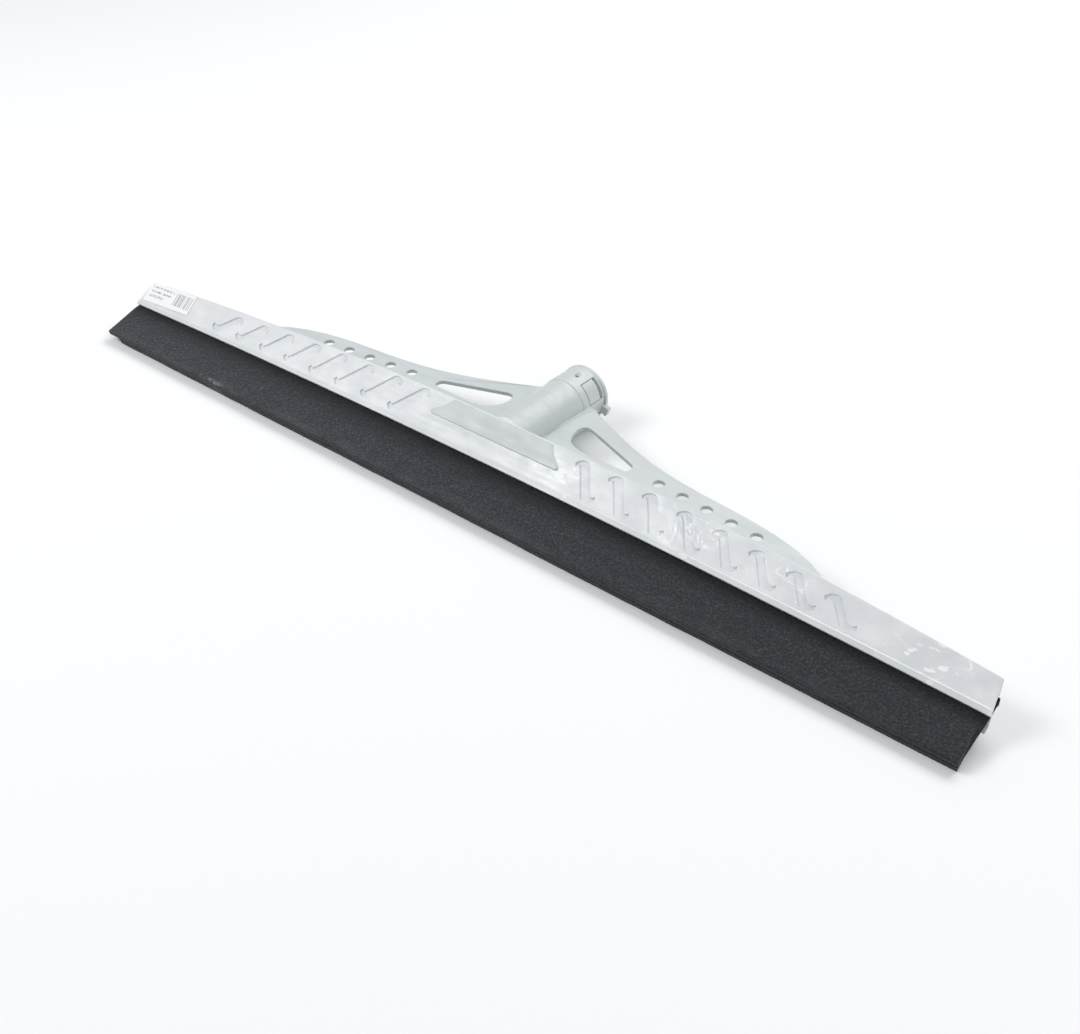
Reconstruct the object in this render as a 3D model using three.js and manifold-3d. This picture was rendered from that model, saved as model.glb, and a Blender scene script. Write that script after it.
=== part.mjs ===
// Wide squeegee head: a one-piece plastic moulding (blade channel, perforated web and handle
// socket), two strips of foam rubber gripped by the channel, a price label, and the two snap
// tongues that the socket holds a handle with. Units are millimetres and +Z is up. The head
// lies on its back as it does on a table: X runs along the blade and +Y towards the handle.
import * as THREE from 'three';
import { mergeVertices } from 'three/addons/utils/BufferGeometryUtils.js';
import Module from 'manifold-3d';

const wasm = await Module();
wasm.setup();

// ---- driving sizes ----
const LENGTH = 550;
const HALF = LENGTH / 2;

// Blade channel. The plate is its upper jaw, which slopes up from the lip to the back edge.
const PLATE_SLOPE = THREE.MathUtils.degToRad(35.3);
const LIP_Z = 14.0;
const LIP_BOW = 3.9;
const LIP_REACH = 2.1;
const PLATE_DEPTH_END = 17.1;
const PLATE_DEPTH_RISE = 11.9;
const END_TRIM = 2.8;
const END_ROUND = 1.3;
const JAW_WALL = 1.8;
const BEAD_WIDTH = 2.5;
const BEAD_HEIGHT = 0.5;
const LOWER_TIP_BACK = -2.9;
const LOWER_TIP_DOWN = -8.4;
const LOWER_SLOPE = Math.tan(THREE.MathUtils.degToRad(24));
const LOWER_WALL = 1.4;
const BACK_WALL = 2.2;
const BACK_ROUND = 0.8;
const TOOTH = 0.5;

// Web between the channel and the socket, with its holes and two openings.
const WEB_TOP = 18.4;
const WEB_THICK = 2.2;
const WEB_HALF = 185;
const WEB_EMBED = 1.1;
const HOLE_COUNT = 5;
const HOLE_R = 3.1;
const HOLE_X = 84;
const HOLE_PITCH = 15;
const HOLE_Y = 41.4;
const HOLE_DROP = 1.47;

// Handle socket: tube, collar and rim. The rim ring sits a little lower than the tube's axis.
const SOCKET_Z = 16.5;
const TUBE_R = 14.0;
const COLLAR_R = 14.45;
const RIM_R = 15.3;
const RIM_DROP = 0.9;
const RIM_GROOVE = 0.35;
const BORE_R = 12.0;
const BORE_START_Y = 28;
const TUBE_START_Y = 24;
const STEP_Y = 71.3;
const RIM_Y = 88.6;
const RIM_WIDTH = 2.6;
const MOUTH_CHAMFER = 1.0;
const NOSE_LENGTH = 9;
const FILLET_WIDTH = 1.1;
const FILLET_HEIGHT = 0.5;
const LUG_R = 18.8;
const LUG_ANGLES = [-29, -12];
const LUG_Y = [86.6, 89.4];
const ROUND_STEPS = 48;

// Raised apron in the middle of the plate: its foot and top along the plate, and its height.
const APRON_FOOT = 15.8;
const APRON_TOP = 27.4;
const APRON_HALF_FOOT = 40.5;
const APRON_HALF_TOP = 32.5;
const APRON_HEIGHT = 1.2;

// S figures sunk into the plate.
const GROOVE_COUNT = 8;
const GROOVE_X = 59.2;
const GROOVE_PITCH = 20.4;
const GROOVE_HALF_WIDTH = 9.8;
const GROOVE_STROKE = 3.1;
const GROOVE_DEPTH = 1.0;
const GROOVE_TOP = 26.6;
const GROOVE_TOP_FALL = [1.6, 6.1];
const GROOVE_FOOT = 7.9;
const GROOVE_FOOT_FALL = 2.0;
const GROOVE_SLANT_RIGHT = 0.04;
const GROOVE_SLANT_LEFT = 0.2;

// Snap tongues, cut free on three sides in the collar. Angles are degrees up from the +X side.
const TONGUE_ROOT_Y = 76;
const TONGUE_TIP_Y = 85.1;
const TONGUE_SLOT_Y = 87.2;
const TONGUE_GAP = 0.35;
const RIGHT_WINDOW = [7, 58];
const LEFT_WINDOW = [124, 173];
const LEFT_SLOT = 14;
const SCREW_HOLE_R = 1.0;
const SCREW_SINK_R = 2.3;
const SCREW_HOLE_DEPTH = 6.2;
const SCREW_SINK_DEPTH = 1.0;
const SCREW_HOLE_Y = 80.6;
const SCREW_HOLE_ANGLE = 83;

// Foam blade, lying on the table by its front edge.
const FOAM_FRONT_Y = -24.1;
const FOAM_THICK = 6.2;
const FOAM_SLOPE = THREE.MathUtils.degToRad(13.7);
const FOAM_LEAN = -0.085;
const FOAM_END_RIGHT = 1.0;
const FOAM_SWELL = 2.6;
const FOAM_PINCH_DOWN = 2.7;
const FOAM_INSIDE = 9;
const LOWER_STRIP_CUT = 9;
const FIT_GAP = 0.3;
const WELD = 0.004;

// Price label near the -X end of the plate, turned a little.
const LABEL_SIZE = [39.4, 12.6];
const LABEL_AT = [-254.4, 11.4];
const LABEL_TURN = THREE.MathUtils.degToRad(4);
const LABEL_THICK = 0.2;
const LABEL_LIFT = 0.15;

// ---- placement helpers ----
// The plate's own directions in the (y, z) plane: "along" climbs from lip to back edge.
const ALONG = [Math.cos(PLATE_SLOPE), Math.sin(PLATE_SLOPE)];
const OUT = [-Math.sin(PLATE_SLOPE), Math.cos(PLATE_SLOPE)];
const arch = (x) => Math.max(0, 1 - (x / HALF) ** 2);
const lipBow = (x) => LIP_BOW * arch(x);
const plateDepth = (x) => PLATE_DEPTH_END + PLATE_DEPTH_RISE * arch(x);
const plateBackY = (x) => plateDepth(x) * ALONG[0];

// A point on the plate in (y, z), s along the plate from the lip's base line and h above it.
function onPlate(s, h) {
  return [s * ALONG[0] + h * OUT[0], LIP_Z + s * ALONG[1] + h * OUT[1]];
}

// The turn and shift that put a flat outline drawn as (x, s) onto the plate.
function plateMatrix() {
  return new THREE.Matrix4().makeTranslation(0, 0, LIP_Z)
    .multiply(new THREE.Matrix4().makeRotationX(PLATE_SLOPE));
}

// ---- solid helpers ----
function toManifold(geometry) {
  const g = geometry.clone();
  g.deleteAttribute('normal');
  g.deleteAttribute('uv');
  const welded = mergeVertices(g, 1e-4);
  return new wasm.Manifold(new wasm.Mesh({
    numProp: 3,
    vertProperties: Float32Array.from(welded.attributes.position.array),
    triVerts: Uint32Array.from(welded.index.array),
  }));
}

// Corners closer together than WELD become one, and triangles that this flattens are left out.
function toGeometry(manifold) {
  const mesh = manifold.getMesh();
  const place = (i) => [0, 1, 2].map((k) => Math.round(mesh.vertProperties[i * 3 + k] / WELD) * WELD);
  const corners = [];
  for (let i = 0; i < mesh.triVerts.length; i += 3) {
    const triangle = [0, 1, 2].map((k) => place(mesh.triVerts[i + k]));
    if (new Set(triangle.map(String)).size === 3) {
      corners.push(...triangle.flat());
    }
  }
  const g = new THREE.BufferGeometry();
  g.setAttribute('position', new THREE.Float32BufferAttribute(corners, 3));
  g.computeVertexNormals();
  return g;
}

// A closed solid through matching (y, z) loops at a row of x stations.
function loft(stations, loopAt) {
  const loops = stations.map((x) => counterClockwise(loopAt(x)));
  const count = loops[0].length;
  const points = loops.flatMap((loop, i) => loop.flatMap(([y, z]) => [stations[i], y, z]));
  const index = [];
  for (let i = 0; i + 1 < stations.length; i += 1) {
    for (let j = 0; j < count; j += 1) {
      const a = i * count + j;
      const b = i * count + (j + 1) % count;
      index.push(a, b, a + count, b, b + count, a + count);
    }
  }
  const cap = (loop) => THREE.ShapeUtils.triangulateShape(loop.map((p) => new THREE.Vector2(...p)), []);
  cap(loops[0]).forEach(([a, b, c]) => index.push(a, c, b));
  const last = (stations.length - 1) * count;
  cap(loops[loops.length - 1]).forEach(([a, b, c]) => index.push(last + a, last + b, last + c));
  const g = new THREE.BufferGeometry();
  g.setAttribute('position', new THREE.Float32BufferAttribute(points, 3));
  g.setIndex(index);
  return toManifold(g);
}

function counterClockwise(loop) {
  const clockwise = THREE.ShapeUtils.isClockWise(loop.map((p) => new THREE.Vector2(...p)));
  return clockwise ? loop.reverse() : loop;
}

// A solid from a closed geometry whose faces may point inwards.
function outwardSolid(geometry) {
  const g = geometry.clone();
  g.deleteAttribute('normal');
  g.deleteAttribute('uv');
  const welded = mergeVertices(g, 1e-4);
  const solid = toManifold(welded);
  if (solid.volume() > 0) {
    return solid;
  }
  const array = welded.index.array;
  for (let i = 0; i < array.length; i += 3) {
    [array[i], array[i + 1]] = [array[i + 1], array[i]];
  }
  return toManifold(welded);
}

function stationsBetween(low, high, count) {
  return Array.from({ length: count }, (_, i) => low + (high - low) * i / (count - 1));
}

function extruded(shape, low, high, curveSegments) {
  const g = new THREE.ExtrudeGeometry(shape, { depth: high - low, bevelEnabled: false, curveSegments });
  g.translate(0, 0, low);
  return g;
}

// A solid of revolution about the socket's axis from (radius, y) pairs; the profile closes on itself.
function turned(profile) {
  const g = new THREE.LatheGeometry(profile.map((p) => new THREE.Vector2(...p)), ROUND_STEPS);
  g.translate(0, 0, SOCKET_Z);
  return outwardSolid(g);
}

// A curved block of the socket wall between two radii, two angles and two places along Y.
function wallBlock(rIn, rOut, degLow, degHigh, yLow, yHigh) {
  const a = THREE.MathUtils.degToRad(degLow);
  const b = THREE.MathUtils.degToRad(degHigh);
  const shape = new THREE.Shape();
  shape.absarc(0, 0, rOut, a, b, false);
  shape.absarc(0, 0, rIn, b, a, true);
  shape.closePath();
  const g = extruded(shape, yLow, yHigh, 10);
  g.applyMatrix4(new THREE.Matrix4().set(1, 0, 0, 0, 0, 0, 1, 0, 0, 1, 0, SOCKET_Z, 0, 0, 0, 1));
  return outwardSolid(g);
}

// ---- blade channel: two jaws that close towards the lip, joined by a back wall ----
const lowerJawZ = (x, y) => {
  const [tipY, tipZ] = lowerTip(x);
  return tipZ + (y - tipY) * LOWER_SLOPE;
};

function lowerTip(x) {
  const [y, z] = onPlate(lipBow(x), 0);
  return [y + LOWER_TIP_BACK, z + LOWER_TIP_DOWN];
}

// How far the plate's face rolls down over its last few millimetres at each end.
function endRoll(x) {
  const past = (Math.abs(x) - (HALF + LIP_REACH - END_ROUND * 2)) / (END_ROUND * 2);
  return past <= 0 ? 0 : END_ROUND * (1 - Math.sqrt(Math.max(0, 1 - past * past)));
}

// The channel's cross-section, outside first; the points from CAVITY_FROM on run round the inside.
const CAVITY_FROM = 9;

function channelLoop(x) {
  const bow = lipBow(x);
  const depth = plateDepth(x);
  const backY = plateBackY(x);
  const roll = endRoll(x);
  const [tipY, tipZ] = lowerTip(x);
  const insideY = backY - BACK_WALL;
  const insideTop = LIP_Z + insideY * Math.tan(PLATE_SLOPE) - JAW_WALL / ALONG[0];
  const tooth = (s, h) => onPlate(bow + s, h - JAW_WALL);
  const floor = (y, h) => [y, lowerJawZ(x, y) + LOWER_WALL + h];
  return [
    onPlate(bow, BEAD_HEIGHT - roll),
    onPlate(bow + BEAD_WIDTH, BEAD_HEIGHT - roll),
    onPlate(bow + BEAD_WIDTH + BEAD_HEIGHT, -roll),
    onPlate(depth - BACK_ROUND * 1.6, -roll),
    onPlate(depth - BACK_ROUND * 0.6, -roll - BACK_ROUND * 0.25),
    [backY, LIP_Z + depth * ALONG[1] - BACK_ROUND * 1.6 - roll],
    [backY, lowerJawZ(x, backY)],
    [tipY + 0.6, lowerJawZ(x, tipY + 0.6)],
    [tipY, tipZ + 0.7],
    [tipY, tipZ + LOWER_WALL],
    floor(tipY + 3.0, 0),
    floor(tipY + 3.4, TOOTH),
    floor(tipY + 4.2, 0),
    floor(insideY, 0),
    [insideY, insideTop],
    tooth(4.6, 0),
    tooth(4.0, -TOOTH),
    tooth(3.2, 0),
    onPlate(bow, -JAW_WALL),
  ];
}

// ---- web: the thin perforated plate that ties the channel to the socket ----
function webShape() {
  const front = (x) => plateBackY(x) - WEB_EMBED;
  const shoulder = [[WEB_HALF, front(WEB_HALF)], [181, 30.2], [174, 34.4], [165, 38.2], [154, 41.4]];
  const sweeps = [
    [[154, 41.4], [140, 44.8], [124, 46.0], [108, 47.4]],
    [[108, 47.4], [80, 50.0], [62, 55.6], [44, 63.2]],
    [[44, 63.2], [36, 66.8], [28, 70.2], [18.2, 74.9]],
  ];
  const shape = new THREE.Shape();
  shape.moveTo(...shoulder[0]);
  shoulder.slice(1).forEach((p) => shape.lineTo(...p));
  sweeps.forEach(([, b, c, d]) => shape.bezierCurveTo(...b, ...c, ...d));
  shape.lineTo(COLLAR_R - 3, 76.0);
  shape.lineTo(3 - COLLAR_R, 76.0);
  shape.lineTo(-18.2, 74.9);
  sweeps.reverse().forEach(([a, b, c]) => shape.bezierCurveTo(-c[0], c[1], -b[0], b[1], -a[0], a[1]));
  shoulder.slice(0, -1).reverse().forEach(([x, y]) => shape.lineTo(-x, y));
  stationsBetween(-WEB_HALF, WEB_HALF, 17).slice(1, -1).forEach((x) => shape.lineTo(x, front(x)));
  return shape;
}

// One rounded triangular opening beside the socket; side is +1 or -1.
function openingShape(side) {
  const hole = new THREE.Shape();
  hole.moveTo(side * 64.5, 39.6);
  hole.quadraticCurveTo(side * 66.8, 42.2, side * 65.2, 45.2);
  hole.lineTo(side * 63.8, 46.4);
  hole.lineTo(side * 29.0, 58.8);
  hole.quadraticCurveTo(side * 23.6, 60.0, side * 23.2, 54.0);
  hole.quadraticCurveTo(side * 23.2, 41.2, side * 37.0, 39.6);
  return hole;
}

function webCutters() {
  const cutters = [];
  for (const side of [1, -1]) {
    cutters.push(toManifold(extruded(openingShape(side), WEB_TOP - 8, WEB_TOP + 8, 6)));
    for (let k = 0; k < HOLE_COUNT; k += 1) {
      const drill = new THREE.CylinderGeometry(HOLE_R, HOLE_R, 16, 20);
      drill.rotateX(Math.PI / 2);
      drill.translate(side * (HOLE_X + k * HOLE_PITCH), HOLE_Y - k * HOLE_DROP, WEB_TOP);
      cutters.push(toManifold(drill));
    }
  }
  return cutters;
}

// ---- S figures sunk into the plate, lower towards the ends ----
// Half of an S outline as cubic curves, from the tip of one hook to the tip of the other. The other
// half is the same turned by half a turn about the middle. Each side of the plate has its own slant.
function grooveShape(index, side) {
  const x = GROOVE_X + index * GROOVE_PITCH;
  const fall = index / (GROOVE_COUNT - 1);
  const top = GROOVE_TOP - GROOVE_TOP_FALL[0] * fall - GROOVE_TOP_FALL[1] * fall ** 2;
  const bottom = GROOVE_FOOT - GROOVE_FOOT_FALL * fall ** 1.4;
  const middle = (top + bottom) / 2;
  const half = (top - bottom) / 2;
  const slant = side > 0 ? GROOVE_SLANT_RIGHT : GROOVE_SLANT_LEFT;
  const w = GROOVE_HALF_WIDTH;
  const stemFoot = 3.8 + 0.72 * (half - 6.5);
  const trough = GROOVE_STROKE - half;
  const headHook = [
    [-w, half - 2.7], [-w + 1.5, half - 0.9], [-w + 3.0, half], [-w + 4.8, half],
    [-w + 6.2, half], [-w + 7.2, half - 0.2], [-w + 7.9, half - 0.9],
  ];
  const footHook = [
    [stemFoot, trough + 1.8], [stemFoot + 1.0, trough + 0.5], [stemFoot + 1.8, trough], [w - 2.9, trough],
    [w - 2.0, trough], [w - 1.4, trough + 0.5], [w - 0.8, trough + 1.2],
  ];
  const hooks = [headHook, footHook, ...[headHook, footHook].map((hook) => hook.map(([u, v]) => [-u, -v]))];
  const shape = new THREE.Shape();
  hooks.forEach((hook, i) => {
    const p = hook.map(([u, v]) => [side * (x + u - slant * v), middle + v]);
    if (i === 0) {
      shape.moveTo(...p[0]);
    } else {
      shape.lineTo(...p[0]);
    }
    shape.bezierCurveTo(...p[1], ...p[2], ...p[3]);
    shape.bezierCurveTo(...p[4], ...p[5], ...p[6]);
  });
  return shape;
}

function grooveCutters() {
  const cutters = [];
  for (let i = 0; i < GROOVE_COUNT; i += 1) {
    for (const side of [1, -1]) {
      const points = grooveShape(i, side).getPoints(3);
      const line = points.filter((p, k) => p.distanceTo(points[(k + 1) % points.length]) > 0.05);
      const g = extruded(new THREE.Shape(line), -GROOVE_DEPTH, 3, 1);
      g.applyMatrix4(plateMatrix());
      cutters.push(toManifold(g));
    }
  }
  return cutters;
}

// ---- fishtail apron: the raised panel that spreads the socket's load over the plate ----
function apronSolid() {
  const outline = new THREE.Shape();
  outline.moveTo(-APRON_HALF_FOOT, APRON_FOOT);
  for (const side of [1, -1]) {
    const corners = [
      [APRON_HALF_FOOT, APRON_FOOT], [APRON_HALF_FOOT + 2.9, APRON_FOOT + 0.2],
      [APRON_HALF_FOOT + 1.3, APRON_FOOT + 2.4], [APRON_HALF_TOP + 2.5, APRON_TOP - 4.9],
      [APRON_HALF_TOP, APRON_TOP],
    ].map(([x, along]) => [side * x, along]);
    const [start, bend, shoulder, waist, end] = side > 0 ? corners : corners.reverse();
    outline.lineTo(...start);
    outline.quadraticCurveTo(...bend, ...shoulder);
    outline.quadraticCurveTo(...waist, ...end);
  }
  const g = extruded(outline, -1.0, APRON_HEIGHT, 6);
  g.applyMatrix4(plateMatrix());
  return toManifold(g);
}

// ---- handle socket ----
function socketSolid() {
  const profile = [[0, TUBE_START_Y - NOSE_LENGTH]];
  for (let i = 1; i < 6; i += 1) {
    const a = Math.PI / 2 * i / 6;
    profile.push([TUBE_R * Math.sin(a), TUBE_START_Y - NOSE_LENGTH * Math.cos(a)]);
  }
  profile.push([TUBE_R, TUBE_START_Y], [TUBE_R, STEP_Y - 0.15], [COLLAR_R, STEP_Y + 0.15]);
  profile.push([COLLAR_R, RIM_Y - RIM_GROOVE], [COLLAR_R - RIM_GROOVE, RIM_Y]);
  profile.push([COLLAR_R - RIM_GROOVE, RIM_Y + RIM_WIDTH - 0.4], [COLLAR_R - 1, RIM_Y + RIM_WIDTH]);
  profile.push([0, RIM_Y + RIM_WIDTH], [0, TUBE_START_Y - NOSE_LENGTH]);
  return turned(profile);
}

function rimSolid() {
  const end = RIM_Y + RIM_WIDTH;
  const back = RIM_Y + 0.1;
  const ring = turned([
    [0, back], [RIM_R - 0.4, back], [RIM_R, back + 0.4], [RIM_R, end - 0.5], [RIM_R - 0.5, end],
    [0, end], [0, back],
  ]);
  return ring.translate([0, 0, -RIM_DROP]);
}

function boreSolid() {
  const end = RIM_Y + RIM_WIDTH;
  return turned([
    [0, BORE_START_Y], [BORE_R - 0.4, BORE_START_Y], [BORE_R, end - MOUTH_CHAMFER],
    [BORE_R + MOUTH_CHAMFER, end], [BORE_R + MOUTH_CHAMFER, end + 2], [0, end + 2], [0, BORE_START_Y],
  ]);
}

// The raised fillet lines on the web along both sides of the tube, which part from it at the collar.
function filletSolids() {
  const line = [[13.5, 32], [14.0, 54], [15.5, 66], [18.0, 74.4]];
  return [1, -1].map((side) => {
    const outline = new THREE.Shape();
    outline.moveTo(side * (line[0][0] - FILLET_WIDTH / 2), line[0][1]);
    line.slice(1).forEach(([x, y]) => outline.lineTo(side * (x - FILLET_WIDTH / 2), y));
    line.slice().reverse().forEach(([x, y]) => outline.lineTo(side * (x + FILLET_WIDTH / 2), y));
    return toManifold(extruded(outline, WEB_TOP - 1, WEB_TOP + FILLET_HEIGHT, 1));
  });
}

// The little stop lug that stands out from the rim, low on its +X side.
function lugSolid() {
  return wallBlock(COLLAR_R - 1.5, LUG_R, ...LUG_ANGLES, ...LUG_Y);
}

// The countersunk screw hole near the top of the collar.
function screwHoleCutter() {
  const sink = SCREW_HOLE_DEPTH - SCREW_SINK_DEPTH;
  const above = SCREW_HOLE_DEPTH + 3;
  const g = new THREE.LatheGeometry([
    [0, 0], [SCREW_HOLE_R, 0], [SCREW_HOLE_R, sink], [SCREW_SINK_R, SCREW_HOLE_DEPTH], [SCREW_SINK_R, above],
    [0, above], [0, 0],
  ].map((p) => new THREE.Vector2(...p)), 20);
  g.rotateX(Math.PI / 2);
  g.translate(0, 0, COLLAR_R - SCREW_HOLE_DEPTH);
  g.rotateY(THREE.MathUtils.degToRad(90 - SCREW_HOLE_ANGLE));
  g.translate(0, SCREW_HOLE_Y, SOCKET_Z);
  return outwardSolid(g);
}

function tongueWindows() {
  return [RIGHT_WINDOW, LEFT_WINDOW].map((window) => (
    wallBlock(BORE_R - 1.5, COLLAR_R + 2, ...window, TONGUE_ROOT_Y, TONGUE_SLOT_Y)
  ));
}

// Wedges that slant the channel's ends, so that the lip is a little longer than the back edge.
function endTrimSolids() {
  const lip = HALF + LIP_REACH + 0.01;
  const wedges = [1, -1].map((side) => {
    const corner = new THREE.Shape();
    corner.moveTo(side * lip, -10);
    corner.lineTo(side * lip, 0);
    corner.lineTo(side * (lip - END_TRIM), PLATE_DEPTH_END * ALONG[0]);
    corner.lineTo(side * (lip - END_TRIM - 1.5), PLATE_DEPTH_END * ALONG[0] + 1);
    corner.lineTo(side * (lip + 5), PLATE_DEPTH_END * ALONG[0] + 1);
    corner.lineTo(side * (lip + 5), -10);
    return toManifold(extruded(corner, -5, 50, 1));
  });
  return wasm.Manifold.union(wedges);
}

function headGeometry() {
  const reach = HALF + LIP_REACH;
  const rolled = [1, 0.95, 0.8, 0.55, 0.25].map((t) => reach - END_ROUND * 2 * (1 - t));
  const middle = stationsBetween(-HALF + 3, HALF - 3, 33);
  const stations = [...rolled.map((x) => -x), ...middle, ...rolled.slice().reverse()];
  const channel = loft(stations, channelLoop).subtract(endTrimSolids());
  const web = toManifold(extruded(webShape(), WEB_TOP - WEB_THICK, WEB_TOP, 14));
  const cavityLoop = (x) => {
    const loop = channelLoop(x).slice(CAVITY_FROM);
    const insideTip = onPlate(lipBow(x) - 3, -JAW_WALL);
    return [[loop[0][0] - 3, loop[0][1] - 1], ...loop, insideTip];
  };
  const cavity = loft([-reach - 1, ...stations, reach + 1], cavityLoop);
  const socket = [socketSolid(), rimSolid(), lugSolid(), ...filletSolids()];
  const solid = wasm.Manifold.union([channel, web, apronSolid(), ...socket]);
  const cutters = [cavity, boreSolid(), screwHoleCutter(), ...webCutters()];
  cutters.push(...grooveCutters(), ...tongueWindows());
  return toGeometry(solid.subtract(wasm.Manifold.union(cutters)));
}

// ---- snap tongues ----
function tongueGeometry(low, high) {
  const slack = THREE.MathUtils.radToDeg(TONGUE_GAP / COLLAR_R);
  const span = [low + slack, high - slack];
  const leaf = wallBlock(BORE_R + 0.2, COLLAR_R, ...span, TONGUE_ROOT_Y + TONGUE_GAP, TONGUE_TIP_Y);
  const catchSpan = [span[0] + 8, span[1] - 8];
  const bump = wallBlock(BORE_R - 0.8, BORE_R + 1, ...catchSpan, TONGUE_TIP_Y - 3.4, TONGUE_TIP_Y - 1.0);
  return toGeometry(leaf.add(bump));
}

// ---- foam strips: flat outside, pinched by the jaws, swelling again inside the channel ----
function foamSurfaces(x) {
  const slope = Math.tan(FOAM_SLOPE);
  const [lipY, lipZ] = onPlate(lipBow(x), 0);
  const frontTop = [FOAM_FRONT_Y, FOAM_THICK * Math.cos(FOAM_SLOPE)];
  const frontLow = [FOAM_FRONT_Y + FOAM_THICK * Math.sin(FOAM_SLOPE), 0];
  const pinchTop = [lipY + LOWER_TIP_BACK, lipZ - FOAM_PINCH_DOWN];
  const lowerBack = LOWER_TIP_BACK + LOWER_WALL;
  const rest = (y) => (y - frontLow[0]) * slope;
  return {
    top: [
      frontTop,
      pinchTop,
      [lipY + 1.6, lipZ - 1.85],
      [lipY + 4.4, lipZ - 0.6],
      [lipY + FOAM_INSIDE, lipZ + 3.2],
    ],
    low: [
      frontLow,
      [lipY - 8, rest(lipY - 8)],
      [lipY + LOWER_TIP_BACK - 0.5, lipZ + LOWER_TIP_DOWN + LOWER_WALL + FIT_GAP],
      [lipY + lowerBack + 2.2, lipZ + LOWER_TIP_DOWN + LOWER_WALL + 2.9],
      [lipY + FOAM_INSIDE, lipZ + LOWER_TIP_DOWN + LOWER_WALL + 5.9],
    ],
  };
}

function blendLine(a, b, t) {
  return a.map((p, i) => [p[0] + (b[i][0] - p[0]) * t, p[1] + (b[i][1] - p[1]) * t]);
}

// The strips' ends are cut a little out of square: they lean towards -X up to the lip. Inside the jaws
// the +X end swells out again, past the slanted end of the channel.
function foamGeometry(from, to, xLow, xHigh) {
  const loop = (x) => {
    const { top, low } = foamSurfaces(x);
    return [...blendLine(top, low, from), ...blendLine(top, low, to).reverse()];
  };
  const g = toGeometry(loft(stationsBetween(xLow, xHigh, 31), loop));
  const at = g.attributes.position;
  for (let i = 0; i < at.count; i += 1) {
    const behind = Math.min(at.getY(i), 0) - FOAM_FRONT_Y;
    const swell = at.getY(i) > 1 && at.getX(i) > HALF ? FOAM_SWELL : 0;
    at.setX(i, at.getX(i) + FOAM_LEAN * behind + swell);
  }
  g.computeVertexNormals();
  return g;
}

// ---- price label, lying on the plate at the -X end ----
function labelGeometry() {
  const g = new THREE.BoxGeometry(LABEL_SIZE[0], LABEL_SIZE[1], LABEL_THICK);
  g.rotateZ(LABEL_TURN);
  g.translate(...LABEL_AT, LABEL_LIFT + LABEL_THICK / 2);
  g.applyMatrix4(plateMatrix());
  return g;
}

// ---- materials and assembly ----
const plastic = { color: 0xdde1e3, roughness: 0.38, metalness: 0 };
const foam = { color: 0x36383d, roughness: 0.95, metalness: 0 };
const paper = { color: 0xf7f7f5, roughness: 0.7, metalness: 0 };

const assembly = new THREE.Group();
function addPart(name, geometry, look) {
  const mesh = new THREE.Mesh(geometry, new THREE.MeshStandardMaterial(look));
  mesh.name = name;
  assembly.add(mesh);
}

addPart('head_moulding', headGeometry(), plastic);
addPart('snap_tongue_right', tongueGeometry(...RIGHT_WINDOW), plastic);
addPart('snap_tongue_left', tongueGeometry(LEFT_WINDOW[0] + LEFT_SLOT, LEFT_WINDOW[1]), plastic);
addPart('foam_strip_upper', foamGeometry(0, 0.475, -HALF, HALF + FOAM_END_RIGHT), foam);
addPart('foam_strip_lower', foamGeometry(0.525, 1, LOWER_STRIP_CUT - HALF, HALF + FOAM_END_RIGHT), foam);
addPart('price_label', labelGeometry(), paper);

// The origin is the middle of the footprint, on the surface that the head lies on.
const bounds = new THREE.Box3().setFromObject(assembly);
const middle = bounds.getCenter(new THREE.Vector3());
assembly.position.set(-middle.x, -middle.y, -bounds.min.z);

export default assembly;
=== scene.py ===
"""Wide squeegee head: a grey plastic channel with a web and a handle socket, two foam strips and a label.

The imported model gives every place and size. The plastic parts get their rounded moulded edges here, the
foam its worn open-celled surface, and the label its paper and print.
"""

import math

import bmesh
import bpy
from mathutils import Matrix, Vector, noise
from mathutils.bvhtree import BVHTree


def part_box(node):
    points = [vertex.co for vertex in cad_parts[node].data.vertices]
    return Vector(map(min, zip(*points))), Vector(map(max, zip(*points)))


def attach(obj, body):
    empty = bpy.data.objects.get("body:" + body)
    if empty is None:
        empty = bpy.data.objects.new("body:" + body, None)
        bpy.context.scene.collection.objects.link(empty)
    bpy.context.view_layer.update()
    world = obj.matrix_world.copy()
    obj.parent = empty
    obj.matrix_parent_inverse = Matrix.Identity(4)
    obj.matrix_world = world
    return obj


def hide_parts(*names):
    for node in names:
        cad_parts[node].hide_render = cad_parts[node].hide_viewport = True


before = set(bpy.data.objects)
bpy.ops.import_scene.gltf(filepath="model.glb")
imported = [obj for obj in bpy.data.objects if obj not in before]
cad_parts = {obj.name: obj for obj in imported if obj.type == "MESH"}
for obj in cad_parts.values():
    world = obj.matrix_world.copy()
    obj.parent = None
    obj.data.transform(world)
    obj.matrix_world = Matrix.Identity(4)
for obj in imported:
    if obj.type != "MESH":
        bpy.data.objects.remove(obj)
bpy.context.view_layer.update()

MM = 0.001

# Pieces: each moulded node and its body, and each foam strip and where in the noise its waves start
MOULDED = {"head_moulding": "head", "snap_tongue_right": "tongue_right", "snap_tongue_left": "tongue_left"}
FOAM_STRIPS = {"foam_strip_upper": 3.1, "foam_strip_lower": 8.4}

# Meshes: corners closer than JOIN are one, and faces flatter than FLAT_ANGLE to each other are one
JOIN = 0.01 * MM
SLIVER = 0.05 * MM
BEVEL_LEFTOVER = 0.002 * MM
FLAT_ANGLE = math.radians(0.15)
SMOOTH_ANGLE = math.radians(32)

# Moulded edges: a corner that lands further than STRAY from the sharp shape is drawn back to it
EDGE_ROUND = 0.28 * MM
EDGE_ANGLE = math.radians(28)
STRAY = 0.13 * MM

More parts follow.
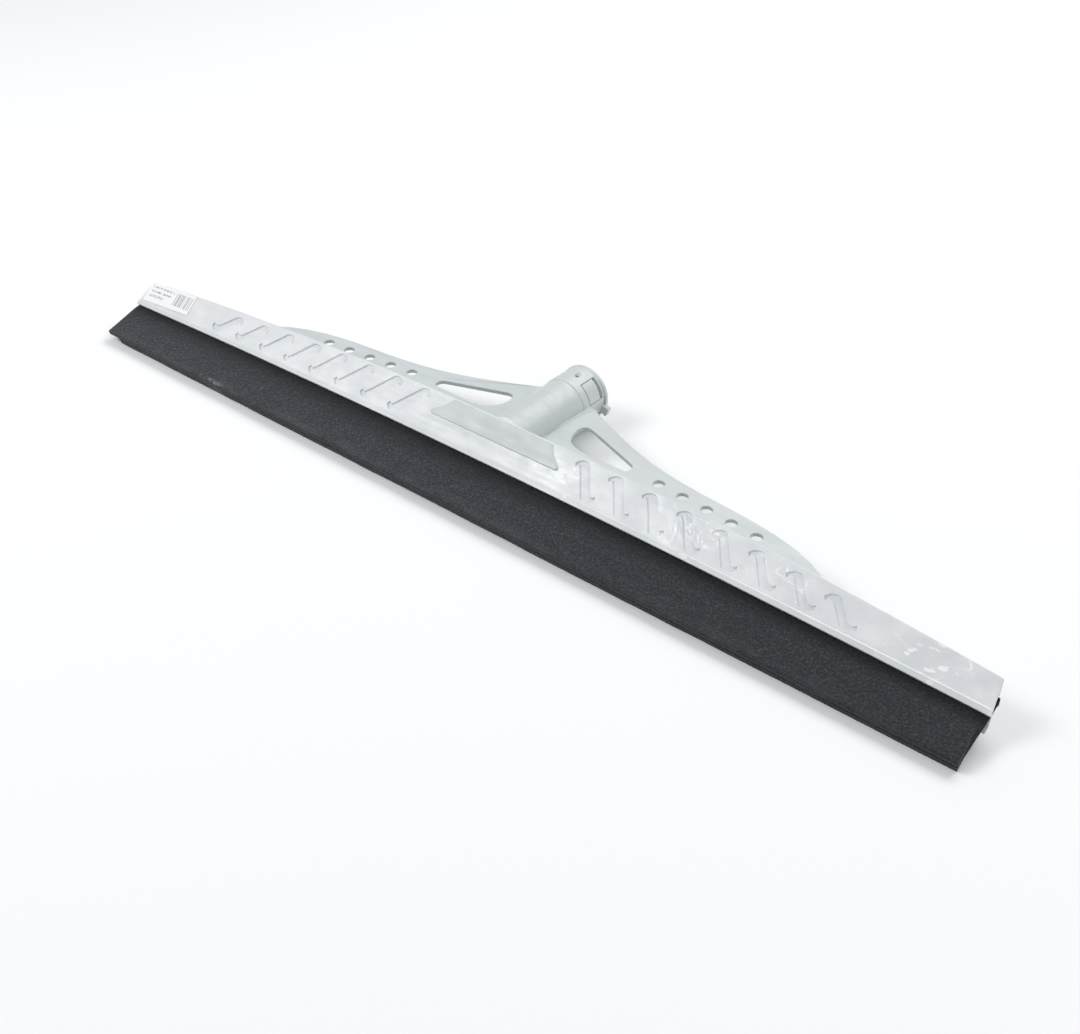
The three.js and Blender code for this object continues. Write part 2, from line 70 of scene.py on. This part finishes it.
# Plate: its slope, the height at which it crosses y = 0, and how far its painted-light band lies below and
# above
PLATE_SLOPE = math.radians(35.3)
PLATE_LEVEL = 37.754 * MM
PLATE_BAND_BELOW = 1.6 * MM
PLATE_BAND_ABOVE = 0.6 * MM
PLATE_BAND_SOFT = 0.2 * MM
CREASED_FROM = -10 * MM
CREASED_TO = 50 * MM

# Foam strips: the jaws hold the last JAW_DEPTH, and the front edge bends over FRONT_DEPTH
FOAM_EDGE_ROUND = 0.5 * MM
FOAM_EDGE_ANGLE = math.radians(40)
FOAM_SLICE = 2.4 * MM
FOAM_WAVE = 0.55 * MM
FOAM_WAVE_LENGTH = 38 * MM
FOAM_WAVE_HEIGHT = 30 * MM
FOAM_DENT = 0.07 * MM
FOAM_DENT_SIZE = 5 * MM
FOAM_RISE = 0.4
JAW_DEPTH = 17 * MM
JAW_FADE = 6 * MM
FRONT_DEPTH = 9 * MM
SCRAPE_FROM = -192 * MM
SCRAPE_TO = -172 * MM

# Label, in mm from its middle: its turn on the plate, its block of bars, and its rows of marks, each with
# its height above the middle, the height of its marks, and where it starts and ends
LABEL_TURN = math.radians(4)
BARS_LEFT, BARS_RIGHT = 4.0, 18.2
BARS_BOTTOM, BARS_TOP = -3.6, 4.8
LABEL_ROWS = [(3.1, 1.3, -17.0, 2.0), (0.2, 1.3, -17.0, 1.0), (-3.0, 1.6, -17.0, -4.0)]

# Colours
PLASTIC_SHADE = (0.540, 0.580, 0.580, 1)
PLASTIC_LIGHT = (0.605, 0.643, 0.642, 1)
# Painted light: the plate's face, paler than the rest for the brighter light on its slope
PAINTED_LIT_PLATE_DARK = (0.700, 0.722, 0.735, 1)
PAINTED_LIT_PLATE_PALE = (0.795, 0.812, 0.822, 1)
# Painted highlight: the white of the strokes and glints in the plate's creases
PAINTED_GLINT_WHITE = (0.97, 0.975, 0.98, 1)
DUST_GREY = (0.47, 0.48, 0.475, 1)
FOAM_SHADE = (0.015, 0.017, 0.021, 1)
FOAM_LIGHT = (0.031, 0.033, 0.040, 1)
FOAM_FLECK = (0.088, 0.093, 0.107, 1)
# Painted shade in the hollows of the foam's pores
FOAM_PORE_SHADE = (0.007, 0.008, 0.010, 1)
FOAM_RUBBED = (0.088, 0.092, 0.104, 1)
FOAM_SCRAPED = (0.21, 0.215, 0.23, 1)
# Painted shade on the foam's front face and under the plate's lip, and darker towards +X
FOAM_PAINTED_SHADE = (0.004, 0.005, 0.007, 1)
PAPER_SHADE = (0.92, 0.922, 0.918, 1)
PAPER_LIGHT = (0.96, 0.96, 0.955, 1)
PRINT_GREY = (0.10, 0.10, 0.11, 1)
FLOOR_PALE = (0.92, 0.925, 0.93, 1)
WARM_WHITE = (1.0, 0.995, 0.985)
WHITE = (1, 1, 1)
AIR = (0.94, 0.96, 1.0, 1)

# Studio: each light's place, size and power, the air's brightness, and the floor just under the head
LIGHTS = [
    ("overhead_back", (0.15, 1.2, 1.3), (1.6, 0.9), 17.5, WARM_WHITE),
    ("front_left", (-0.95, -0.75, 1.25), (0.7, 0.7), 11.5, WHITE),
    ("right_fill", (1.3, -0.5, 0.7), (0.9, 0.9), 3.5, WHITE),
]
AIR_STRENGTH = 0.44
FLOOR_SIZE = 4
FLOOR_LEVEL = -0.2 * MM

# Camera, set where it sees the head from the front right and above
CAMERA_TURN = math.radians(38.93)
CAMERA_TILT = math.radians(38.95)
CAMERA_AIM = Vector((0.0678, -0.0489, 0.0))
CAMERA_DISTANCE = 0.620
CAMERA_LENS = 43.14
CAMERA_SENSOR = 36
CAMERA_NEAR = 0.01
CAMERA_SHIFT = (-0.01898, 0.03657)


# ---------------------------------------------------------------- nodes

class Finish:
    """One material's node tree, with short calls for its nodes. A noise's scale is in features per metre."""

    def __init__(self, name):
        self.material = bpy.data.materials.new(name)
        self.material.use_nodes = True
        self.tree = self.material.node_tree
        self.shader = self.tree.nodes["Principled BSDF"]
        coordinates = self.tree.nodes.new("ShaderNodeTexCoord")
        self.place = coordinates.outputs["Object"]
        self.facing = coordinates.outputs["Normal"]

    def node(self, kind, inputs, **settings):
        made = self.tree.nodes.new(kind)
        for key, value in settings.items():
            setattr(made, key, value)
        for key, value in inputs.items():
            if isinstance(value, bpy.types.NodeSocket):
                self.tree.links.new(value, made.inputs[key])
            else:
                made.inputs[key].default_value = value
        return made

    def mapped(self, scale, location=(0, 0, 0), source=None):
        inputs = {"Vector": source or self.place, "Scale": scale, "Location": location}
        return self.node("ShaderNodeMapping", inputs).outputs["Vector"]

    def noise(self, scale, detail=2.0, source=None, rough=0.5, distortion=0.0):
        inputs = {"Vector": source or self.place, "Scale": scale, "Detail": detail}
        inputs.update({"Roughness": rough, "Distortion": distortion})
        return self.node("ShaderNodeTexNoise", inputs).outputs["Fac"]

    def cells(self, scale, source=None):
        inputs = {"Vector": source or self.place, "Scale": scale}
        return self.node("ShaderNodeTexVoronoi", inputs).outputs["Distance"]

    def range(self, value, given, wanted=(0.0, 1.0)):
        """Carries value smoothly from the given pair of limits to the wanted pair."""
        inputs = {"Value": value, "From Min": given[0], "From Max": given[1]}
        inputs.update({"To Min": wanted[0], "To Max": wanted[1]})
        return self.node("ShaderNodeMapRange", inputs, interpolation_type="SMOOTHSTEP").outputs["Result"]

    def band(self, value, low, high, soft):
        """1 between low and high, fading to 0 over soft on both sides."""
        rise = self.range(value, (low - soft, low + soft))
        fall = self.range(value, (high - soft, high + soft), (1.0, 0.0))
        return self.times(rise, fall)

    def math(self, operation, a, b):
        return self.node("ShaderNodeMath", {0: a, 1: b}, operation=operation).outputs["Value"]

    def times(self, a, b):
        return self.math("MULTIPLY", a, b)

    def plus(self, a, b):
        return self.math("ADD", a, b)

    def minus(self, a, b):
        return self.math("SUBTRACT", a, b)

    def larger(self, a, b):
        return self.math("MAXIMUM", a, b)

    def mix(self, amount, a, b):
        inputs = {0: amount, 6: a, 7: b}
        return self.node("ShaderNodeMix", inputs, data_type="RGBA").outputs[2]

    def split(self, vector):
        made = self.node("ShaderNodeSeparateXYZ", {"Vector": vector})
        return made.outputs["X"], made.outputs["Y"], made.outputs["Z"]

    def bump(self, height, distance, strength, normal=None):
        inputs = {"Height": height, "Distance": distance, "Strength": strength}
        if normal is not None:
            inputs["Normal"] = normal
        return self.node("ShaderNodeBump", inputs).outputs["Normal"]

    def wire(self, socket, output):
        self.tree.links.new(output, self.shader.inputs[socket])

    def fix(self, socket, value):
        self.shader.inputs[socket].default_value = value


# ---------------------------------------------------------------- grey plastic

def painted_plate_light(f):
    """The plastic's band on the plate's face, painted paler than the rest: painted light on its slope."""
    _, y, z = f.split(f.place)
    height = f.minus(z, f.times(y, math.tan(PLATE_SLOPE)))
    return f.band(height, PLATE_LEVEL - PLATE_BAND_BELOW, PLATE_LEVEL + PLATE_BAND_ABOVE, PLATE_BAND_SOFT)


def plate_creases_and_glints(f, plate):
    """The patches of the plate that are creased, and the pale strokes and blobs in them: painted highlights.
    """
    x, _, _ = f.split(f.place)
    right = f.range(x, (CREASED_FROM, CREASED_TO), (0.12, 1.0))
    patches = f.range(f.noise(30, 2, f.mapped((0.8, 1.5, 1.5), (0.35, 0.1, 0))), (0.44, 0.6))
    creased = f.times(f.times(plate, right), patches)
    folds = f.noise(85, 2, f.mapped((0.6, 1, 1)), 0.5, 0.9)
    highlight_strokes = f.times(f.band(folds, 0.488, 0.512, 0.012), f.range(f.noise(130, 1), (0.5, 0.62)))
    glint_blobs = f.range(f.noise(210, 2, f.mapped((0.45, 1, 1))), (0.63, 0.69))
    return creased, f.times(f.larger(highlight_strokes, glint_blobs), creased)


def plastic_colour(f, plate, crease_and_glint):
    """Streaked lengthwise, cloudy, dusty; painted light on the plate and painted highlights in the creases.
    """
    clouds = f.range(f.noise(28, 3, rough=0.6), (0.3, 0.7), (0, 0.6))
    streaks = f.range(f.noise(1, 3, f.mapped((14, 260, 260)), 0.6), (0.35, 0.7), (0, 0.4))
    base = f.mix(f.plus(clouds, streaks), PLASTIC_SHADE, PLASTIC_LIGHT)
    # Painted light: the plate's face paler than the rest of the plastic
    lit_plate_mottle = f.range(f.noise(60, 3, rough=0.6), (0.35, 0.7))
    base = f.mix(plate, base, f.mix(lit_plate_mottle, PAINTED_LIT_PLATE_DARK, PAINTED_LIT_PLATE_PALE))
    # Painted highlight: white strokes and glints in the creases
    base = f.mix(f.times(crease_and_glint, 0.9), base, PAINTED_GLINT_WHITE)
    dust = f.range(f.noise(900, 4, rough=0.7), (0.62, 0.8), (0, 0.35))
    return f.mix(dust, base, DUST_GREY)


def plastic_relief(f, creased, crease_and_glint):
    """From fine to coarse: grain, scratches along the length, a slow swell, and wrinkles in the creases."""
    grain = f.bump(f.noise(2600, 2), 0.03 * MM, 0.35)
    scratches = f.range(f.noise(1, 2, f.mapped((40, 2200, 2200)), 0.7), (0.66, 0.74))
    scored = f.bump(scratches, 0.03 * MM, 0.35, grain)
    swell = f.bump(f.noise(45, 2), 0.6 * MM, 0.2, scored)
    wrinkles = f.times(f.plus(creased, f.times(crease_and_glint, 0.3)), f.noise(150, 2, distortion=0.8))
    return f.bump(wrinkles, 0.5 * MM, 0.5, swell)


def grey_plastic():
    """Light grey satin polypropylene, rubbed along its length and glossier where it is creased."""
    f = Finish("grey_plastic_moulded")
    plate = painted_plate_light(f)
    creased, crease_and_glint = plate_creases_and_glints(f, plate)
    f.wire("Base Color", plastic_colour(f, plate, crease_and_glint))
    rub = f.range(f.noise(1, 4, f.mapped((30, 420, 420)), 0.65), (0.3, 0.75), (0.0, 0.16))
    satin = f.plus(f.range(f.noise(75, 3), (0.3, 0.7), (0.3, 0.4)), rub)
    f.wire("Roughness", f.minus(satin, f.times(creased, 0.2)))
    f.wire("Normal", plastic_relief(f, creased, crease_and_glint))
    f.fix("Specular IOR Level", 0.55)
    return f.material


# ---------------------------------------------------------------- foam rubber

def foam_wear(f, foam, front_y):
    """The foam's colour, greyer where its front edge has rubbed and palest where something scraped it."""
    x, y, _ = f.split(f.place)
    edge = f.range(y, (front_y + 0.2 * MM, front_y + FRONT_DEPTH), (1.0, 0.0))
    rubbed = f.range(f.noise(95, 4, f.mapped((0.5, 1, 1)), 0.7), (0.36, 0.66), (0.0, 0.35))
    worn = f.mix(f.times(edge, rubbed), foam, FOAM_RUBBED)
    scratches = f.range(f.noise(260, 3), (0.48, 0.6), (0.0, 0.7))
    scraped = f.times(f.band(x, SCRAPE_FROM, SCRAPE_TO, 4 * MM), scratches)
    lip = f.range(y, (front_y + 1 * MM, front_y + 4 * MM), (1.0, 0.0))
    return f.mix(f.times(lip, scraped), worn, FOAM_SCRAPED)


def painted_foam_shade(f, front_y):
    """Painted shade on the foam's front face and under the lip by the jaws, and darker towards +X."""
    x, y, _ = f.split(f.place)
    front_face_shade = f.range(f.split(f.facing)[1], (-0.8, -0.5), (0.62, 0.0))
    under_lip_shade = f.range(y, (front_y + 10 * MM, front_y + 26 * MM), (0.0, 0.75))
    darker_to_plus_x = f.range(x, (-150 * MM, 250 * MM), (0.0, 0.35))
    return f.larger(f.larger(under_lip_shade, front_face_shade), darker_to_plus_x)


def foam_rubber(front_y):
    """Black closed-cell sponge, with burst cells over its cut faces."""
    f = Finish("foam_rubber_worn")
    cells = f.cells(620, f.mapped((1, 1.15, 1)))
    pores = f.cells(1500)
    mottle = f.noise(140, 4, rough=0.65)
    fine = f.noise(1400, 3, rough=0.7)
    base = f.mix(f.range(mottle, (0.3, 0.72)), FOAM_SHADE, FOAM_LIGHT)
    grit = f.range(f.noise(820, 2, rough=0.6), (0.54, 0.66))
    rims = f.times(f.range(cells, (0.25, 0.6)), f.range(fine, (0.42, 0.68)))
    flecked = f.mix(f.times(f.larger(grit, rims), 0.7), base, FOAM_FLECK)
    # Painted shade: darker in the hollows of the pores
    pore_shaded = f.mix(f.range(pores, (0.12, 0.34), (0.65, 0.0)), flecked, FOAM_PORE_SHADE)
    worn = foam_wear(f, pore_shaded, front_y)
    # Painted shade: darker on the front face, under the lip near the jaws, and towards +X
    f.wire("Base Color", f.mix(painted_foam_shade(f, front_y), worn, FOAM_PAINTED_SHADE))
    f.wire("Roughness", f.range(mottle, (0.3, 0.7), (0.72, 0.95)))
    soft = f.bump(f.noise(110, 3), 1.0 * MM, 0.12)
    open_cells = f.bump(cells, 0.45 * MM, 0.7, soft)
    f.wire("Normal", f.bump(pores, 0.18 * MM, 0.6, open_cells))
    f.fix("Specular IOR Level", 0.3)
    f.fix("Sheen Weight", 0.12)
    f.fix("Sheen Roughness", 0.5)
    return f.material


# ---------------------------------------------------------------- label and floor finishes

def label_print(f, local):
    """Three rows of small marks and a block of bars, none of them readable."""
    u, v, _ = f.split(local)
    marks = None
    for row, high, left, right in LABEL_ROWS:
        line = f.band(v, row * MM, (row + high) * MM, 0.1 * MM)
        run = f.band(u, left * MM, right * MM, 0.2 * MM)
        letters = f.range(f.noise(1, 2, f.mapped((1500, 420, 1), source=local), 0.6), (0.46, 0.54))
        mark = f.times(f.times(line, run), letters)
        marks = mark if marks is None else f.larger(marks, mark)
    across = f.band(u, BARS_LEFT * MM, BARS_RIGHT * MM, 0.1 * MM)
    up = f.band(v, BARS_BOTTOM * MM, BARS_TOP * MM, 0.1 * MM)
    bars = f.range(f.noise(1, 1, f.mapped((1250, 0.01, 0.01), source=local)), (0.48, 0.53))
    return f.larger(marks, f.times(f.times(across, up), bars))


def label_paper(centre):
    """Bright coated paper with small grey print, lying on the plate's slope."""
    f = Finish("label_paper_printed")
    lie = {"Vector": f.place, "Location": centre, "Rotation": (PLATE_SLOPE, 0, LABEL_TURN)}
    local = f.node("ShaderNodeMapping", lie, vector_type="TEXTURE").outputs["Vector"]
    fibres = f.noise(1500, 4, rough=0.7)
    paper = f.mix(f.range(fibres, (0.3, 0.75)), PAPER_SHADE, PAPER_LIGHT)
    f.wire("Base Color", f.mix(f.times(label_print(f, local), 0.65), paper, PRINT_GREY))
    f.wire("Roughness", f.range(fibres, (0.3, 0.7), (0.5, 0.65)))
    cockle = f.bump(f.noise(90, 2), 0.4 * MM, 0.25)
    f.wire("Normal", f.bump(fibres, 0.03 * MM, 0.4, cockle))
    return f.material


def floor_paint():
    """Plain pale floor."""
    f = Finish("pale_floor")
    f.fix("Base Color", FLOOR_PALE)
    f.fix("Roughness", 0.9)
    return f.material


# ---------------------------------------------------------------- pieces

def merged_copy(node):
    """A CAD node's mesh with its loose corners joined, its slivers closed and its flat faces whole."""
    bm = bmesh.new()
    bm.from_mesh(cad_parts[node].data)
    bmesh.ops.remove_doubles(bm, verts=bm.verts, dist=JOIN)
    bmesh.ops.dissolve_degenerate(bm, edges=bm.edges, dist=SLIVER)
    bmesh.ops.dissolve_limit(bm, angle_limit=FLAT_ANGLE, verts=bm.verts, edges=bm.edges)
    return bm


def is_sharp(edge, angle):
    return len(edge.link_faces) == 2 and edge.calc_face_angle(0) > angle


def finished(bm, name, material, body, node):
    """Makes the bmesh an object that stands for one CAD node and rides on its body."""
    for face in bm.faces:
        face.smooth = True
    for edge in bm.edges:
        edge.smooth = not is_sharp(edge, SMOOTH_ANGLE)
    mesh = bpy.data.meshes.new(name)
    bm.to_mesh(mesh)
    bm.free()
    mesh.materials.append(material)
    piece = bpy.data.objects.new(name, mesh)
    bpy.context.scene.collection.objects.link(piece)
    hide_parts(node)
    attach(piece, body)
    return piece


def close_up(bm):
    """Merges the corners that a bevel has left on each other, and fills what that opens."""
    bmesh.ops.remove_doubles(bm, verts=bm.verts, dist=BEVEL_LEFTOVER)
    bmesh.ops.dissolve_degenerate(bm, edges=bm.edges, dist=BEVEL_LEFTOVER)
    loose = [e for e in bm.edges if not e.link_faces]
    bmesh.ops.delete(bm, geom=loose, context="EDGES")
    bmesh.ops.holes_fill(bm, edges=[e for e in bm.edges if len(e.link_faces) == 1], sides=0)


def rounded_moulding(node, body, material):
    """A plastic part with its sharp edges rounded as they leave the mould."""
    bm = merged_copy(node)
    sharp_shape = BVHTree.FromBMesh(bm)
    bmesh.ops.bevel(
        bm, geom=[e for e in bm.edges if is_sharp(e, EDGE_ANGLE)], offset=EDGE_ROUND, offset_type="OFFSET",
        segments=2, profile=0.5, affect="EDGES", clamp_overlap=False, material=-1,
    )
    low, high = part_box(node)
    for v in bm.verts:
        surface, _, _, away = sharp_shape.find_nearest(v.co)
        if away > STRAY:
            v.co = surface
        v.co = [min(max(v.co[i], low[i]), high[i]) for i in range(3)]
    close_up(bm)
    piece = finished(bm, node + "_rounded", material, body, node)
    weights = piece.modifiers.new("even_faces", "WEIGHTED_NORMAL")
    weights.keep_sharp = True


def share(distance, depth):
    """How far a distance gets through a depth, from 0 to 1."""
    return min(1.0, max(0.0, distance / depth))


def foam_move(v, low, jaw, seed):
    """How far a corner of a foam strip moves: dented outside the jaws, and wavy at the front edge."""
    spot = v.co + Vector((seed, 0, 0))
    dent = noise.noise(spot / FOAM_DENT_SIZE) * FOAM_DENT
    wave_spot = Vector((spot.x / FOAM_WAVE_LENGTH, seed, v.co.z / FOAM_WAVE_HEIGHT))
    wave = noise.noise(wave_spot) * FOAM_WAVE
    free = share(jaw - v.co.y, JAW_FADE)
    front = share(low.y + FRONT_DEPTH - v.co.y, FRONT_DEPTH)
    return v.normal * (dent - FOAM_DENT) * free + Vector((0, abs(wave) * front, wave * front * FOAM_RISE))


def foam_strip(node, material, seed):
    """A foam strip: soft long edges, and a surface that waves and dents outside the jaws."""
    bm = merged_copy(node)
    bmesh.ops.bevel(
        bm, geom=[e for e in bm.edges if is_sharp(e, FOAM_EDGE_ANGLE)], offset=FOAM_EDGE_ROUND,
        offset_type="OFFSET", segments=3, profile=0.5, affect="EDGES", clamp_overlap=True, material=-1,
    )
    low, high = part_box(node)
    for axis in (0, 1):
        slice_across(bm, low, high, axis)
    bmesh.ops.triangulate(bm, faces=[f for f in bm.faces if len(f.verts) > 4])
    bm.normal_update()
    moves = [foam_move(v, low, high.y - JAW_DEPTH, seed) for v in bm.verts]
    for v, move in zip(bm.verts, moves):
        v.co += move
        v.co.z = max(v.co.z, low.z)
    piece = finished(bm, node + "_cellular", material, "head", node)


def slice_across(bm, low, high, axis):
    """Cuts the mesh by planes across one axis, so that it can bend between them."""
    normal = Vector((0, 0, 0))
    normal[axis] = 1
    length = high[axis] - low[axis]
    count = int(length / FOAM_SLICE)
    for i in range(1, count):
        point = Vector((0, 0, 0))
        point[axis] = low[axis] + length * i / count
        geom = list(bm.verts) + list(bm.edges) + list(bm.faces)
        bmesh.ops.bisect_plane(bm, geom=geom, dist=1e-7, plane_co=point, plane_no=normal)


def foam_front():
    """Where the foam's front edge is."""
    return min(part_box(node)[0].y for node in FOAM_STRIPS)


def price_label():
    """The label keeps its CAD shape, and gets its paper and print."""
    low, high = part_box("price_label")
    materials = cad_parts["price_label"].data.materials
    materials.clear()
    materials.append(label_paper((low + high) / 2))


# ---------------------------------------------------------------- studio

def floor():
    bm = bmesh.new()
    bmesh.ops.create_grid(bm, x_segments=1, y_segments=1, size=FLOOR_SIZE)
    mesh = bpy.data.meshes.new("floor")
    bm.to_mesh(mesh)
    bm.free()
    mesh.materials.append(floor_paint())
    plane = bpy.data.objects.new("floor", mesh)
    bpy.context.scene.collection.objects.link(plane)
    plane.location.z = FLOOR_LEVEL


def panel(name, place, size, power, colour):
    """A soft rectangular light, aimed at the head."""
    data = bpy.data.lights.new(name, "AREA")
    data.shape = "RECTANGLE"
    data.size, data.size_y = size
    data.energy = power
    data.color = colour
    light = bpy.data.objects.new(name, data)
    light.location = place
    light.rotation_euler = (-Vector(place)).to_track_quat("-Z", "Y").to_euler()
    bpy.context.scene.collection.objects.link(light)


def studio():
    for light in LIGHTS:
        panel(*light)
    world = bpy.data.worlds.new("studio_air")
    world.use_nodes = True
    world.node_tree.nodes["Background"].inputs["Color"].default_value = AIR
    world.node_tree.nodes["Background"].inputs["Strength"].default_value = AIR_STRENGTH
    bpy.context.scene.world = world
    bpy.context.scene.view_settings.view_transform = "Standard"


def camera():
    away = Vector((
        math.sin(CAMERA_TURN) * math.cos(CAMERA_TILT),
        -math.cos(CAMERA_TURN) * math.cos(CAMERA_TILT),
        math.sin(CAMERA_TILT),
    ))
    data = bpy.data.cameras.new("camera")
    data.lens = CAMERA_LENS
    data.sensor_width = CAMERA_SENSOR
    data.shift_x, data.shift_y = CAMERA_SHIFT
    data.clip_start = CAMERA_NEAR
    made = bpy.data.objects.new("camera", data)
    made.location = CAMERA_AIM + away * CAMERA_DISTANCE
    made.rotation_euler = (-away).to_track_quat("-Z", "Y").to_euler()
    bpy.context.scene.collection.objects.link(made)
    bpy.context.scene.camera = made


# ---------------------------------------------------------------- assembly

camera()
studio()
floor()

plastic = grey_plastic()
for moulded_node, moulded_body in MOULDED.items():
    rounded_moulding(moulded_node, moulded_body, plastic)

foam = foam_rubber(foam_front())
for strip, strip_seed in FOAM_STRIPS.items():
    foam_strip(strip, foam, strip_seed)

price_label()
